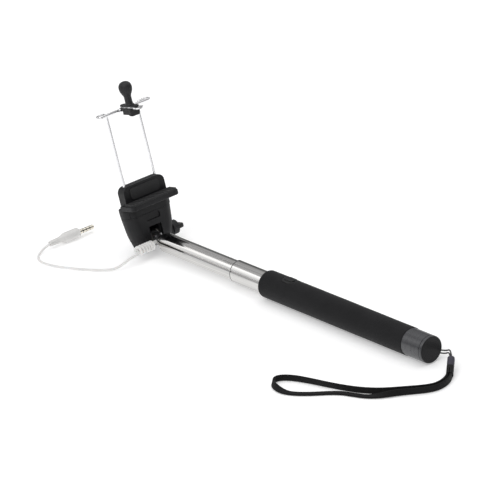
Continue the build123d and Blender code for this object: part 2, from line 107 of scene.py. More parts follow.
def bands(kit, vector, period, direction="X", distortion=0.0):
    # bands that repeat every period metres
    node = addNode(kit, "ShaderNodeTexWave", {"Scale": math.pi / (10 * period), "Distortion": distortion,
                                             "Detail": 1.0}, bands_direction=direction)
    link(kit, vector, node.inputs["Vector"])
    return node.outputs["Fac"]


def cells(kit, vector, scale, spread=1.0):
    node = addNode(kit, "ShaderNodeTexVoronoi", {"Scale": scale, "Randomness": spread})
    link(kit, vector, node.inputs["Vector"])
    return node.outputs["Distance"]


def joined(kit, operation, first, second):
    node = addNode(kit, "ShaderNodeMath", operation=operation)
    for socket, value in zip(node.inputs, (first, second)):
        if isinstance(value, (int, float)):
            socket.default_value = value
        else:
            link(kit, value, socket)
    return node.outputs[0]


def ranged(kit, value, low, high, fromLow=0.0, fromHigh=1.0):
    node = addNode(kit, "ShaderNodeMapRange", {"From Min": fromLow, "From Max": fromHigh,
                                              "To Min": low, "To Max": high})
    link(kit, value, node.inputs["Value"])
    return node.outputs["Result"]


def tinted(kit, value, stops):
    ramp = addNode(kit, "ShaderNodeValToRGB")
    elements = ramp.color_ramp.elements
    while len(elements) < len(stops):
        elements.new(0.5)
    for element, (position, colour) in zip(elements, stops):
        element.position = position
        element.color = (*colour, 1)
    link(kit, value, ramp.inputs["Fac"])
    link(kit, ramp.outputs["Color"], kit["shader"].inputs["Base Color"])


def roughened(kit, value, low, high):
    link(kit, ranged(kit, value, low, high), kit["shader"].inputs["Roughness"])


def bumped(kit, height, depth, strength=1.0, after=None):
    node = addNode(kit, "ShaderNodeBump", {"Strength": strength, "Distance": depth})
    link(kit, height, node.inputs["Height"])
    if after is not None:
        link(kit, after, node.inputs["Normal"])
    link(kit, node.outputs["Normal"], kit["shader"].inputs["Normal"])
    return node.outputs["Normal"]


# ---- materials

def foamMaterial():
    look = {"dark": (0.006, 0.006, 0.0065), "middle": (0.0105, 0.0105, 0.0115),
            "light": (0.017, 0.017, 0.0185), "cell": 0.45, "depth": 0.16}
    kit = newMaterial("closed cell foam", look["light"], 0.9)
    where = mapped(kit)
    grain = noise(kit, where, 1 / (look["cell"] * mm), 4.0, 0.75)
    broad = noise(kit, where, 60, 3.0)
    mixed = joined(kit, "ADD", joined(kit, "MULTIPLY", grain, 0.7), joined(kit, "MULTIPLY", broad, 0.3))
    tinted(kit, mixed, [(0.32, look["dark"]), (0.5, look["middle"]), (0.68, look["light"])])
    roughened(kit, grain, 0.8, 1.0)
    pits = cells(kit, where, 1 / (look["cell"] * 1.3 * mm))
    first = bumped(kit, pits, look["depth"] * mm, 0.55)
    bumped(kit, grain, look["depth"] * mm, 0.7, first)
    kit["shader"].inputs["Sheen Weight"].default_value = 0.08
    kit["shader"].inputs["Sheen Roughness"].default_value = 0.5
    kit["shader"].inputs["Specular IOR Level"].default_value = 0.2
    return kit["material"]


def drawnChromeMaterial(name, lipAt=None):
    # plated tube: painted reflection streaks and lines in its colour (the lines also give a real drawn-line
    # bump), light haze, and a painted shadow line at a rolled lip
    look = {"low": (0.44, 0.438, 0.436), "middle": (0.64, 0.63, 0.615), "high": (0.74, 0.73, 0.715),
            "crease": 0.32}
    kit = newMaterial(name, look["middle"], 0.12, 1.0)
    lines = noise(kit, mapped(kit, (6, 900, 900)), 1.0, 4.0, 0.7)
    paintedReflectionStreaks = noise(kit, mapped(kit, (4, 520, 520)), 1.0, 3.0, 0.6)
    haze = noise(kit, mapped(kit, (30, 60, 60)), 1.0, 3.0)
    # painted reflections: the streaks and lines darken and lighten the chrome's colour along the tube
    shade = joined(kit, "ADD", joined(kit, "MULTIPLY", paintedReflectionStreaks, 0.62), joined(kit, "MULTIPLY", lines, 0.38))
    # painted shadow: a dark ring is taken off the colour where the next tube enters the rolled lip
    if lipAt is not None:
        split = addNode(kit, "ShaderNodeSeparateXYZ")
        link(kit, kit["coords"].outputs["Object"], split.inputs["Vector"])
        crease = addNode(kit, "ShaderNodeMath", {1: lipAt, 2: look["crease"] * mm}, operation="COMPARE")
        link(kit, split.outputs["X"], crease.inputs[0])
        shade = joined(kit, "SUBTRACT", shade, crease.outputs[0])
    # the black stop at 0 is where the painted lip shadow pulls the shade down
    tinted(kit, shade, [(0.0, (0.03, 0.03, 0.03)), (0.36, look["low"]), (0.5, look["middle"]),
                        (0.64, look["high"])])
    mixed = joined(kit, "MULTIPLY", lines, haze)
    link(kit, ranged(kit, mixed, 0.05, 0.2, 0.1, 0.45), kit["shader"].inputs["Roughness"])
    bumped(kit, lines, 0.008 * mm, 0.6)
    kit["shader"].inputs["Anisotropic"].default_value = 0.35
    return kit["material"]


def brightChromeMaterial():
    kit = newMaterial("bright chrome", (0.83, 0.83, 0.84), 0.1, 1.0)
    haze = noise(kit, mapped(kit), 300, 3.0)
    tinted(kit, haze, [(0.3, (0.76, 0.76, 0.77)), (0.7, (0.88, 0.88, 0.89))])
    roughened(kit, haze, 0.06, 0.2)
    bumped(kit, noise(kit, mapped(kit), 900, 2.0), 0.01 * mm, 0.3)
    return kit["material"]


def mouldedMaterial(name, dark, light, grainSize=0.35, depth=0.04, rough=(0.42, 0.6), specular=0.45):
    # spark-eroded moulding: fine grain, slow colour drift and paler high spots
    kit = newMaterial(name, light, rough[0])
    where = mapped(kit)
    grain = noise(kit, where, 1 / (grainSize * mm), 3.0, 0.65)
    drift = noise(kit, where, 70, 2.0)
    mixed = joined(kit, "ADD", joined(kit, "MULTIPLY", grain, 0.45), joined(kit, "MULTIPLY", drift, 0.55))
    tinted(kit, mixed, [(0.35, dark), (0.65, light)])
    roughened(kit, mixed, rough[0], rough[1])
    bumped(kit, grain, depth * mm, 0.6)
    kit["shader"].inputs["Specular IOR Level"].default_value = specular
    return kit["material"]


def capMaterial():
    # satin dark grey cap: fine lines round its side, an end face painted darker as shade, with turned rings
    look = {"side": ((0.036, 0.0365, 0.04), (0.072, 0.073, 0.079)),
            "face": ((0.003, 0.003, 0.0035), (0.02, 0.0195, 0.023)),
            "ring": 1.25, "line": 0.55, "ringDepth": 4.0}
    kit = newMaterial("satin cap moulding", look["side"][1], 0.38)
    where = mapped(kit)
    grain = noise(kit, where, 2600, 3.0)
    drift = noise(kit, mapped(kit, (160, 40, 40)), 1.0, 3.0)
    mixed = joined(kit, "ADD", joined(kit, "MULTIPLY", grain, 0.35), joined(kit, "MULTIPLY", drift, 0.65))
    centred = addNode(kit, "ShaderNodeMapping", {"Location": tuple(-place(0, 0, 0))})
    link(kit, kit["coords"].outputs["Object"], centred.inputs["Vector"])
    rings = addNode(kit, "ShaderNodeTexWave", {"Scale": math.pi / (10 * look["ring"] * mm), "Distortion": 1.2,
                                              "Detail": 2.0, "Detail Scale": 3.0},
                    wave_type="RINGS", rings_direction="X")
    link(kit, centred.outputs["Vector"], rings.inputs["Vector"])
    # the share of end face: 1 where the surface looks down the stick, 0 round the side
    facing = addNode(kit, "ShaderNodeSeparateXYZ")
    link(kit, kit["coords"].outputs["Normal"], facing.inputs["Vector"])
    onFace = ranged(kit, facing.outputs["X"], 0.0, 1.0, 0.75, 0.95)
    side = addNode(kit, "ShaderNodeMix", data_type="RGBA")
    face = addNode(kit, "ShaderNodeMix", data_type="RGBA")
    blend = addNode(kit, "ShaderNodeMix", data_type="RGBA")
    for node, pair in ((side, look["side"]), (face, look["face"])):
        node.inputs["A"].default_value = (*pair[0], 1)
        node.inputs["B"].default_value = (*pair[1], 1)
    link(kit, mixed, side.inputs["Factor"])
    link(kit, joined(kit, "MULTIPLY", rings.outputs["Fac"], grain), face.inputs["Factor"])
    # painted shade: where the normal faces down the stick, the colour blends to the darker face colours
    link(kit, onFace, blend.inputs["Factor"])
    link(kit, side.outputs["Result"], blend.inputs["A"])
    link(kit, face.outputs["Result"], blend.inputs["B"])
    link(kit, blend.outputs["Result"], kit["shader"].inputs["Base Color"])
    roughened(kit, mixed, 0.2, 0.36)
    link(kit, ranged(kit, onFace, 0.6, 0.2), kit["shader"].inputs["Specular IOR Level"])
    turned = bands(kit, where, look["line"] * mm, "X", 0.4)
    ringsOnFace = joined(kit, "MULTIPLY", rings.outputs["Fac"], onFace)
    relief = joined(kit, "ADD", turned, joined(kit, "MULTIPLY", ringsOnFace, look["ringDepth"]))
    first = bumped(kit, relief, 0.012 * mm, 0.5)
    bumped(kit, grain, 0.03 * mm, 0.5, first)
    return kit["material"]


def rubberMaterial():
    kit = newMaterial("soft black rubber", (0.02, 0.02, 0.021), 0.7)
    where = mapped(kit)
    grain = noise(kit, where, 1900, 4.0, 0.7)
    tinted(kit, grain, [(0.3, (0.012, 0.012, 0.013)), (0.7, (0.03, 0.03, 0.031))])
    roughened(kit, grain, 0.6, 0.85)
    bumped(kit, grain, 0.05 * mm, 0.6)
    return kit["material"]


def steelMaterial(name, colour, rough):
    kit = newMaterial(name, colour, rough, 1.0)
    grain = noise(kit, mapped(kit), 1400, 3.0)
    darker = tuple(c * 0.75 for c in colour)
    tinted(kit, grain, [(0.3, darker), (0.7, colour)])
    roughened(kit, grain, rough * 0.7, rough * 1.3)
    bumped(kit, grain, 0.01 * mm, 0.4)
    return kit["material"]


def pinMaterial():
    # plated pin with the three dark insulating rings between its four poles
    look = {"rings": (3.6, 6.6, 9.6), "half": 0.22, "plating": (0.82, 0.78, 0.68),
            "ring": (0.015, 0.015, 0.016)}
    kit = newMaterial("plated pin", look["plating"], 0.16, 1.0)
    split = addNode(kit, "ShaderNodeSeparateXYZ")
    link(kit, kit["coords"].outputs["Object"], split.inputs["Vector"])
    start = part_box("jack_pin")[0][1]
    dark = 0.0
    for spot in look["rings"]:
        ring = addNode(kit, "ShaderNodeMath", {1: start + spot * mm, 2: look["half"] * mm},
                       operation="COMPARE")
        link(kit, split.outputs["Y"], ring.inputs[0])
        dark = joined(kit, "MAXIMUM", ring.outputs[0], dark)
    tinted(kit, dark, [(0.0, look["plating"]), (1.0, look["ring"])])
    link(kit, ranged(kit, dark, 1.0, 0.0), kit["shader"].inputs["Metallic"])
    grain = noise(kit, mapped(kit), 1400, 3.0)
    roughened(kit, grain, 0.12, 0.24)
    bumped(kit, grain, 0.008 * mm, 0.4)
    return kit["material"]


def leadMaterial():
    kit = newMaterial("soft white lead", (0.8, 0.79, 0.77), 0.42)
    where = mapped(kit)
    drift = noise(kit, where, 120, 3.0)
    tinted(kit, drift, [(0.3, (0.84, 0.83, 0.815)), (0.7, (0.92, 0.915, 0.905))])
    roughened(kit, noise(kit, where, 900, 2.0), 0.34, 0.55)
    bumped(kit, noise(kit, where, 1800, 2.0), 0.02 * mm, 0.4)
    kit["shader"].inputs["Subsurface Weight"].default_value = 0.15
    kit["shader"].inputs["Subsurface Radius"].default_value = (0.0012, 0.001, 0.0009)
    return kit["material"]


def webbingMaterial():
    # flat woven webbing: ribs across, fine warp along; UV is in metres
    look = {"pick": 0.62, "end": 0.5}
    kit = newMaterial("woven black webbing", (0.02, 0.02, 0.021), 0.85)
    cloth = mapped(kit, source="UV")
    picks = bands(kit, cloth, look["pick"] * mm, "X", 0.3)
    ends = bands(kit, cloth, look["end"] * mm, "Y", 0.15)
    weave = joined(kit, "MULTIPLY", picks, ends)
    fuzz = noise(kit, mapped(kit), 2400, 3.0)
    shade = joined(kit, "ADD", joined(kit, "MULTIPLY", weave, 0.6), joined(kit, "MULTIPLY", fuzz, 0.4))
    tinted(kit, shade, [(0.15, (0.002, 0.002, 0.002)), (0.45, (0.0055, 0.0055, 0.006)),
                        (0.85, (0.014, 0.014, 0.015))])
    roughened(kit, fuzz, 0.7, 0.95)
    first = bumped(kit, weave, 0.14 * mm, 0.9)
    bumped(kit, fuzz, 0.06 * mm, 0.5, first)
    kit["shader"].inputs["Sheen Weight"].default_value = 0.05
    kit["shader"].inputs["Specular IOR Level"].default_value = 0.25
    return kit["material"]


def braidMaterial():
    # round braid: two sets of crossing strands; UV is in metres along and round
    kit = newMaterial("thin black braid", (0.02, 0.02, 0.02), 0.7)
    look = {"lay": 38, "strand": 0.5}
    oneWay, otherWay = [bands(kit, mapped(kit, turn=(0, 0, math.radians(lay)), source="UV"),
                              look["strand"] * mm) for lay in (look["lay"], -look["lay"])]
    braid = joined(kit, "MAXIMUM", oneWay, otherWay)
    tinted(kit, braid, [(0.2, (0.008, 0.008, 0.008)), (0.9, (0.045, 0.045, 0.046))])
    roughened(kit, braid, 0.6, 0.85)
    bumped(kit, braid, 0.1 * mm, 0.9)
    return kit["material"]


def sleeveMaterial():
    # grey upper half, black forked lower half
    kit = newMaterial("two-tone sleeve", (0.1, 0.1, 0.11), 0.5)
    way = (Vector(sleeve["end"]) - Vector(sleeve["top"])).normalized()
    start = place(*sleeve["top"])
    dot = addNode(kit, "ShaderNodeVectorMath", operation="DOT_PRODUCT")
    shifted = addNode(kit, "ShaderNodeVectorMath", operation="SUBTRACT")
    shifted.inputs[1].default_value = start
    dot.inputs[1].default_value = way
    link(kit, kit["coords"].outputs["Object"], shifted.inputs[0])
    link(kit, shifted.outputs["Vector"], dot.inputs[0])
    grain = noise(kit, mapped(kit), 1500, 3.0)
    wobble = joined(kit, "ADD", dot.outputs["Value"], joined(kit, "MULTIPLY", grain, sleeve["wobble"] * mm))
    share = ranged(kit, wobble, 0, 1, 0, sleeve["length"] * mm)
    tinted(kit, share, [(0.0, (0.062, 0.058, 0.078)), (0.53, (0.05, 0.047, 0.063)),
                        (0.56, (0.003, 0.003, 0.0035)), (1.0, (0.006, 0.006, 0.0065))])
    roughened(kit, grain, 0.45, 0.65)
    kit["shader"].inputs["Specular IOR Level"].default_value = 0.22
    bumped(kit, grain, 0.03 * mm, 0.5)
    return kit["material"]


# ---- mesh helpers

def newPiece(name, points, faces, material, smooth=True):
    mesh = bpy.data.meshes.new(name)
    mesh.from_pydata([tuple(p) for p in points], [], faces)
    mesh.materials.append(material)
    mesh.update()
    if smooth:
        mesh.polygons.foreach_set("use_smooth", [True] * len(mesh.polygons))
    piece = bpy.data.objects.new(name, mesh)
    bpy.context.scene.collection.objects.link(piece)
    return piece


def smoothLine(points, steps):
    # Catmull-Rom through given points
    padded = [points[0], *points, points[-1]]
    line = []
    for a, b, c, d in zip(padded, padded[1:], padded[2:], padded[3:]):
        for step in range(steps):
            t = step / steps
            line.append(tuple(0.5 * (2 * q + (r - p) * t + (2 * p - 5 * q + 4 * r - s) * t * t
                                     + (3 * q - p - 3 * r + s) * t ** 3)
                              for p, q, r, s in zip(a, b, c, d)))
    line.append(tuple(points[-1]))
    return line


def turnedPiece(name, profile, sides, material, toFrame, swell=None):
    # profile is (radius, along) pairs; toFrame puts (across, across, along) in the frame
    points, faces = [], []
    for radius, along in profile:
        for k in range(sides):
            angle = 2 * math.pi * k / sides
            r = radius + (swell(angle, along, radius) if swell else 0)
            points.append(toFrame(r * math.cos(angle), r * math.sin(angle), along))
    for i in range(len(profile) - 1):
        for k in range(sides):
            n = (k + 1) % sides
            faces.append((i * sides + k, i * sides + n, (i + 1) * sides + n, (i + 1) * sides + k))
    return newPiece(name, points, faces, material)


def routeCurve(name, route, thickness, material=None):
    curve = bpy.data.curves.new(name, "CURVE")
    curve.dimensions = "3D"
    spline = curve.splines.new("NURBS")
    spline.points.add(len(route) - 1)
    for point, spot in zip(spline.points, route):
        point.co = (*spot, 1)
    spline.order_u = 3
    spline.use_endpoint_u = True
    curve.resolution_u = 8
    curve.bevel_depth = thickness / 2
    curve.bevel_resolution = 6
    curve.use_fill_caps = thickness > 0
    if material:
        curve.materials.append(material)
    piece = bpy.data.objects.new(name, curve)
    bpy.context.scene.collection.objects.link(piece)
    return piece


def linePoints(name, route, spacing):
    # evenly spaced points along the route's own spline
    guide = routeCurve(name, route, 0)
    bpy.context.view_layer.update()
    mesh = bpy.data.meshes.new_from_object(guide.evaluated_get(bpy.context.evaluated_depsgraph_get()))
    spots = [v.co.copy() for v in mesh.vertices]
    bpy.data.meshes.remove(mesh)
    bpy.data.objects.remove(guide)
    total = sum((b - a).length for a, b in zip(spots, spots[1:]))
    count = max(2, round(total / spacing))
    result, travelled, index = [spots[0]], 0.0, 0
    for k in range(1, count):
        goal = total * k / count
        while travelled + (spots[index + 1] - spots[index]).length < goal:
            travelled += (spots[index + 1] - spots[index]).length
            index += 1
        step = spots[index + 1] - spots[index]
        result.append(spots[index] + step * ((goal - travelled) / step.length))
    result.append(spots[-1])
    return result, total


def sweptPiece(name, spots, sectionAt, material):
    # sectionAt gives, for each spot, the ring of points round it; UV is metres along and round
    rings = [sectionAt(i) for i in range(len(spots))]
    sides = len(rings[0])
    points = [p for ring in rings for p in ring]
    faces = []
    for i in range(len(rings) - 1):
        for k in range(sides):
            n = (k + 1) % sides
            faces.append((i * sides + k, i * sides + n, (i + 1) * sides + n, (i + 1) * sides + k))
    faces.append(tuple(range(sides - 1, -1, -1)))
    faces.append(tuple((len(rings) - 1) * sides + k for k in range(sides)))
    piece = newPiece(name, points, faces, material)
    along = [0.0]
    for a, b in zip(spots, spots[1:]):
        along.append(along[-1] + (b - a).length)
    ring = rings[len(rings) // 2]
    around = [0.0]
    for a, b in zip(ring, ring[1:] + ring[:1]):
        around.append(around[-1] + (Vector(b) - Vector(a)).length)
    layer = piece.data.uv_layers.new(name="UVMap")
    for face in piece.data.polygons:
        for loop in face.loop_indices:
            index = piece.data.loops[loop].vertex_index
            row, side = divmod(index, sides)
            last = len(face.vertices) == 4 and side == 0 and sides - 1 in (
                v % sides for v in face.vertices)
            layer.data[loop].uv = (along[row], around[-1] if last else around[side])
    return piece


def ringAround(spot, across, other, radius, sides):
    # a round wire's outline at one spot
    return [spot + (across * math.cos(math.tau * k / sides) + other * math.sin(math.tau * k / sides)) * radius
            for k in range(sides)]


def wayAlong(spots, i):
    return (spots[min(i + 1, len(spots) - 1)] - spots[max(i - 1, 0)]).normalized()


def coiledWire(name, spots, axis, radius, sides, material):
    # round wire wound about an axis
    def section(i):
        way = wayAlong(spots, i)
        outward = axis.cross(way).normalized()
        return ringAround(spots[i], outward, way.cross(outward), radius, sides)

    return sweptPiece(name, spots, section, material)


def cutOut(piece, cutter):
    # takes the cutter's shape out of the piece for good
    modifier = piece.modifiers.new("opening", "BOOLEAN")
    modifier.operation = "DIFFERENCE"
    modifier.solver = "EXACT"
    modifier.object = cutter
    bpy.context.view_layer.update()
    evaluated = piece.evaluated_get(bpy.context.evaluated_depsgraph_get())
    mesh = bpy.data.meshes.new_from_object(evaluated)
    piece.modifiers.clear()
    old, piece.data = piece.data, mesh
    bpy.data.meshes.remove(old)
    bpy.data.objects.remove(cutter)


# ---- camera, floor and light

def makeCamera():
    shot = {"azimuth": 53.19, "elevation": 23.63, "roll": -6.574, "distance": 2.7, "lens": 279.1,
            "aim": (-0.10098, 0.04661, 0.00079)}
    az, el = math.radians(shot["azimuth"]), math.radians(shot["elevation"])
    back = Vector((math.sin(az) * math.cos(el), -math.cos(az) * math.cos(el), math.sin(el)))
    data = bpy.data.cameras.new("camera")
    data.lens = shot["lens"]
    data.sensor_width = 36
    data.clip_start, data.clip_end = 0.05, 60
    camera = bpy.data.objects.new("camera", data)
    bpy.context.scene.collection.objects.link(camera)
    level = (-back).to_track_quat("-Z", "Y").to_matrix()
    roll = Matrix.Rotation(math.radians(shot["roll"]), 3, back)
    camera.matrix_world = Matrix.Translation(Vector(shot["aim"]) + back * shot["distance"]) \
        @ (roll @ level).to_4x4()
    bpy.context.scene.camera = camera


def makeFloor():
    floorLook = {"half": 6.0, "drop": 0.0002, "glow": 0.3}
    kit = newMaterial("pale floor", (0.9, 0.9, 0.9), 0.75)
    tinted(kit, noise(kit, mapped(kit), 1.5, 2.0), [(0.3, (0.90, 0.90, 0.90)), (0.7, (0.93, 0.93, 0.93))])
    kit["shader"].inputs["Specular IOR Level"].default_value = 0.1
    kit["shader"].inputs["Emission Color"].default_value = (1, 1, 1, 1)
    kit["shader"].inputs["Emission Strength"].default_value = floorLook["glow"]
    half, drop = floorLook["half"], -floorLook["drop"]
    floor = newPiece("floor", [(-half, -half, drop), (half, -half, drop), (half, half, drop),
                               (-half, half, drop)], [(0, 1, 2, 3)], kit["material"], False)


def makeLights():
    lamps = [
        # name, place, size, watts
        ("keySoftbox", (0.7, -2.0, 2.2), (2.2, 1.4), 22),
        ("topSoftbox", (-0.3, 0.3, 2.6), (2.6, 2.6), 19),
        ("fillSoftbox", (-2.4, -1.4, 1.2), (1.4, 1.8), 8),
        ("backSoftbox", (-0.6, 2.4, 1.5), (2.4, 0.9), 8),
    ]
    target = Vector((0, 0, 0.02))
    for name, spot, size, watts in lamps:
        data = bpy.data.lights.new(name, "AREA")
        data.shape = "RECTANGLE"
        data.size, data.size_y = size
        data.energy = watts
        lamp = bpy.data.objects.new(name, data)
        lamp.location = spot
        lamp.rotation_euler = (target - Vector(spot)).to_track_quat("-Z", "Y").to_euler()
        bpy.context.scene.collection.objects.link(lamp)


def makeWorld():
    # studio sky: bright overhead, a dark band low down that the chrome can show
    world = bpy.data.worlds.new("studio")
    bpy.context.scene.world = world
    world.use_nodes = True
    tree = world.node_tree
    background = tree.nodes["Background"]
    coords = tree.nodes.new("ShaderNodeTexCoord")
    split = tree.nodes.new("ShaderNodeSeparateXYZ")
    ramp = tree.nodes.new("ShaderNodeValToRGB")
    stops = [(0.0, 0.75), (0.10, 0.20), (0.30, 0.30), (0.55, 1.1), (1.0, 1.3)]
    while len(ramp.color_ramp.elements) < len(stops):
        ramp.color_ramp.elements.new(0.5)
    for element, (position, grey) in zip(ramp.color_ramp.elements, stops):
        element.position = position
        element.color = (grey, grey, grey * 1.01, 1)
    tree.links.new(coords.outputs["Generated"], split.inputs["Vector"])
    tree.links.new(split.outputs["Z"], ramp.inputs["Fac"])
    tree.links.new(ramp.outputs["Color"], background.inputs["Color"])
    background.inputs["Strength"].default_value = 0.46


bpy.context.scene.view_settings.view_transform = "Standard"
makeCamera()
makeFloor()
makeLights()
makeWorld()
print("camera, floor and light are set")

# ---- cords: routes about the axle in mm, the same points as the CAD tubes follow
lead = {
    "thickness": 2.0,
    "exit": (9.9, -5.4, 0.0),
    "start": [(9.9, -3.0, 0.0), (9.9, -5.6, 0.0), (9.9, -7.6, -0.2)],
    "curlCentre": (12.7, 0.0), "curlRadius": 2.8, "curlFrom": -8.8, "curlTo": -23.6,
    "curlTurns": 6.25, "curlPoints": 12, "curlOpening": 0.1,
    "run": [(12.7, -29.8, -2.8), (12.0, -35.4, -5.2), (9.0, -41.2, -8.4),
            (3.0, -47.0, -9.0), (-6.0, -53.1, -9.0), (-16.0, -58.6, -9.0), (-28.0, -64.0, -9.0),
            (-40.0, -67.4, -9.0), (-50.5, -67.0, -9.0), (-58.3, -61.6, -9.0), (-61.6, -54.0, -7.4),
            (-62.2, -47.5, -6.0), (-62.17, -45.9, -6.0)],
}
strap = {
    "thickness": 1.3, "width": 4.6, "ground": -10.0, "corner": 0.42, "flatParts": 5,
    "lift": 0.08, "slim": 0.985,
    # shares of the length: it turns flat, turns back on edge, then sways by a few degrees
    "turnsFlat": (0.13, 0.25), "turnsBack": (0.43, 0.54),
    "sway": {"degrees": 7, "rate": 21, "starts": (0.54, 0.6), "ends": (0.9, 1)},
    "route": [(329.2, -6.8), (331.6, -9.6), (334.4, -14.2), (336.1, -20.0), (335.9, -26.6),
              (332.2, -33.4), (325.8, -41.0), (319.6, -49.2), (313.2, -56.8), (305.6, -62.4),
              (297.4, -65.6), (290.4, -68.2), (284.6, -72.2), (279.0, -77.6), (273.0, -83.4),
              (265.8, -89.0), (257.4, -92.8), (248.8, -92.6), (242.4, -89.4), (240.2, -84.4),
              (243.6, -79.6), (251.2, -75.4), (262.4, -71.8), (275.4, -68.4), (288.0, -64.4),
              (299.0, -59.8), (308.2, -54.2), (315.6, -47.2), (322.4, -39.2), (329.0, -31.6),
              (332.6, -25.6), (332.9, -20.2), (331.6, -15.2), (329.5, -11.2), (327.5, -8.4)],
}
loop = {
    "thickness": 1.0, "pin": (299.5, 7.1, -4.27), "out": (0.0, 0.857, -0.515), "round": (0.0, 0.515, 0.857),
    "middle": [(312.6, 7.8, -1.9), (306.8, 11.4, -4.2), (302.8, 12.9, -6.6), (299.9, 10.7, -6.44)],
    "spread": (0.9, 1, 1, 1), "roundPin": 1.02,
    "leavesSleeve": [(320.6, 2.4, -2.3), (319.4, 3.1, -1.9)],
    "entersSleeve": [(319.0, 2.2, -2.6), (320.2, 1.5, -2.9)],
}
sleeve = {"top": (319.4, 2.6, -2.2), "end": (329.2, -8.4, -7.4), "length": 15.63, "wobble": 0.4}


def makeLead():
    route = [place(*p) for p in lead["start"]]
    cx, cz = lead["curlCentre"]
    steps = round(lead["curlTurns"] * lead["curlPoints"])
    for k in range(steps + 1):
        share = k / steps
        angle = math.pi + 2 * math.pi * lead["curlTurns"] * share
        # the last turns open out a little, as a stretched curl does
        opened = (1 - lead["curlOpening"]) * share + lead["curlOpening"] * share ** 3
        y = lead["curlFrom"] + (lead["curlTo"] - lead["curlFrom"]) * opened
        route.append(place(cx + lead["curlRadius"] * math.cos(angle), y,
                           cz + lead["curlRadius"] * math.sin(angle)))
    route += [place(*p) for p in lead["run"]]
    piece = routeCurve("signal_lead", route, lead["thickness"] * mm, leadMaterial())
    piece.data.resolution_u = 6
    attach(piece, "section_6")
    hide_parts("lead_start", "lead_curl", "lead_run")
    length = linePoints("leadGuide", route, 1 * mm)[1]
    print("lead length", round(length, 4))
    tuple(place(*lead["exit"]))


def eased(value, low, high):
    t = max(0.0, min(1.0, (value - low) / (high - low)))
    return t * t * (3 - 2 * t)


def makeStrap():
    width, thick = strap["width"] * mm, strap["thickness"] * mm
    route = [place(x, y, strap["ground"] + strap["width"] / 2) for x, y in strap["route"]]
    spots, length = linePoints("strapGuide", route, 0.8 * mm)
    # a rounded flat section: on edge near the sleeve, flat on the way out, on edge again on the way back
    corner = thick * strap["corner"]
    outline = []
    for cy, cz, first in ((1, 1, 0), (-1, 1, 90), (-1, -1, 180), (1, -1, 270)):
        for k in range(4):
            angle = math.radians(first + 30 * k)
            outline.append((cy * (thick / 2 - corner) + corner * math.cos(angle),
                            cz * (width / 2 - corner) + corner * math.sin(angle)))
    # extra points across the flats, so that the ribs can follow
    full = []
    for (y0, z0), (y1, z1) in zip(outline, outline[1:] + outline[:1]):
        parts = strap["flatParts"] if abs(z1 - z0) > width / 2 else 1
        for k in range(parts):
            full.append((y0 + (y1 - y0) * k / parts, z0 + (z1 - z0) * k / parts))

    sway = strap["sway"]

    def section(i):
        ahead = wayAlong(spots, i)
        side = Vector((-ahead.y, ahead.x, 0)).normalized()
        share = i / (len(spots) - 1)
        lean = math.radians(90) * eased(share, *strap["turnsFlat"]) * (1 - eased(share, *strap["turnsBack"]))
        lean += (math.radians(sway["degrees"]) * math.sin(share * sway["rate"])
                 * eased(share, *sway["starts"]) * (1 - eased(share, *sway["ends"])))
        across = side * math.cos(lean) + Vector((0, 0, math.sin(lean)))
        upward = Vector((0, 0, math.cos(lean))) - side * math.sin(lean)
        rise = 0.5 * (width * math.cos(lean) + thick * abs(math.sin(lean)))
        middle = Vector((spots[i].x, spots[i].y, min(rise, width / 2 + strap["lift"] * mm)))
        return [middle + across * y + upward * z * strap["slim"] for y, z in full]

    piece = sweptPiece("wrist_strap", spots, section, webbingMaterial())
    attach(piece, "handle")
    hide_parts("strap_webbing")
    print("strap length", round(length, 4))
    tuple(place(*sleeve["end"]))
    [tuple(p) for p in spots]


def makeLoop():
    pin, out, around = Vector(loop["pin"]), Vector(loop["out"]), Vector(loop["round"])
    route = [Vector(p) for p in loop["leavesSleeve"]]
    for side in (1, -1):
        strand = [Vector(p) + around * spread * side for p, spread in zip(loop["middle"], loop["spread"])]
        strand.append(pin - out * loop["roundPin"] + around * loop["roundPin"] * side)
        route += strand if side == 1 else strand[::-1]
    route += [Vector(p) for p in loop["entersSleeve"]]
    spots, length = linePoints("loopGuide", [place(*p) for p in route], 0.25 * mm)
    radius = loop["thickness"] * mm / 2
    frames = []
    normal = Vector((0, 0, 1))
    for i in range(len(spots)):
        way = wayAlong(spots, i)
        normal = (normal - way * normal.dot(way)).normalized()
        frames.append((normal.copy(), way.cross(normal)))

    def section(i):
        return ringAround(spots[i], *frames[i], radius, 12)

    piece = sweptPiece("strap_cord", spots, section, braidMaterial())
    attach(piece, "handle")
    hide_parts("strap_loop")
    print("loop length", round(length, 4))
    tuple(place(*sleeve["top"]))
    [tuple(p) for p in spots]


makeLead()
makeStrap()
makeLoop()
print("lead, strap and loop are laid")


# ---- handle

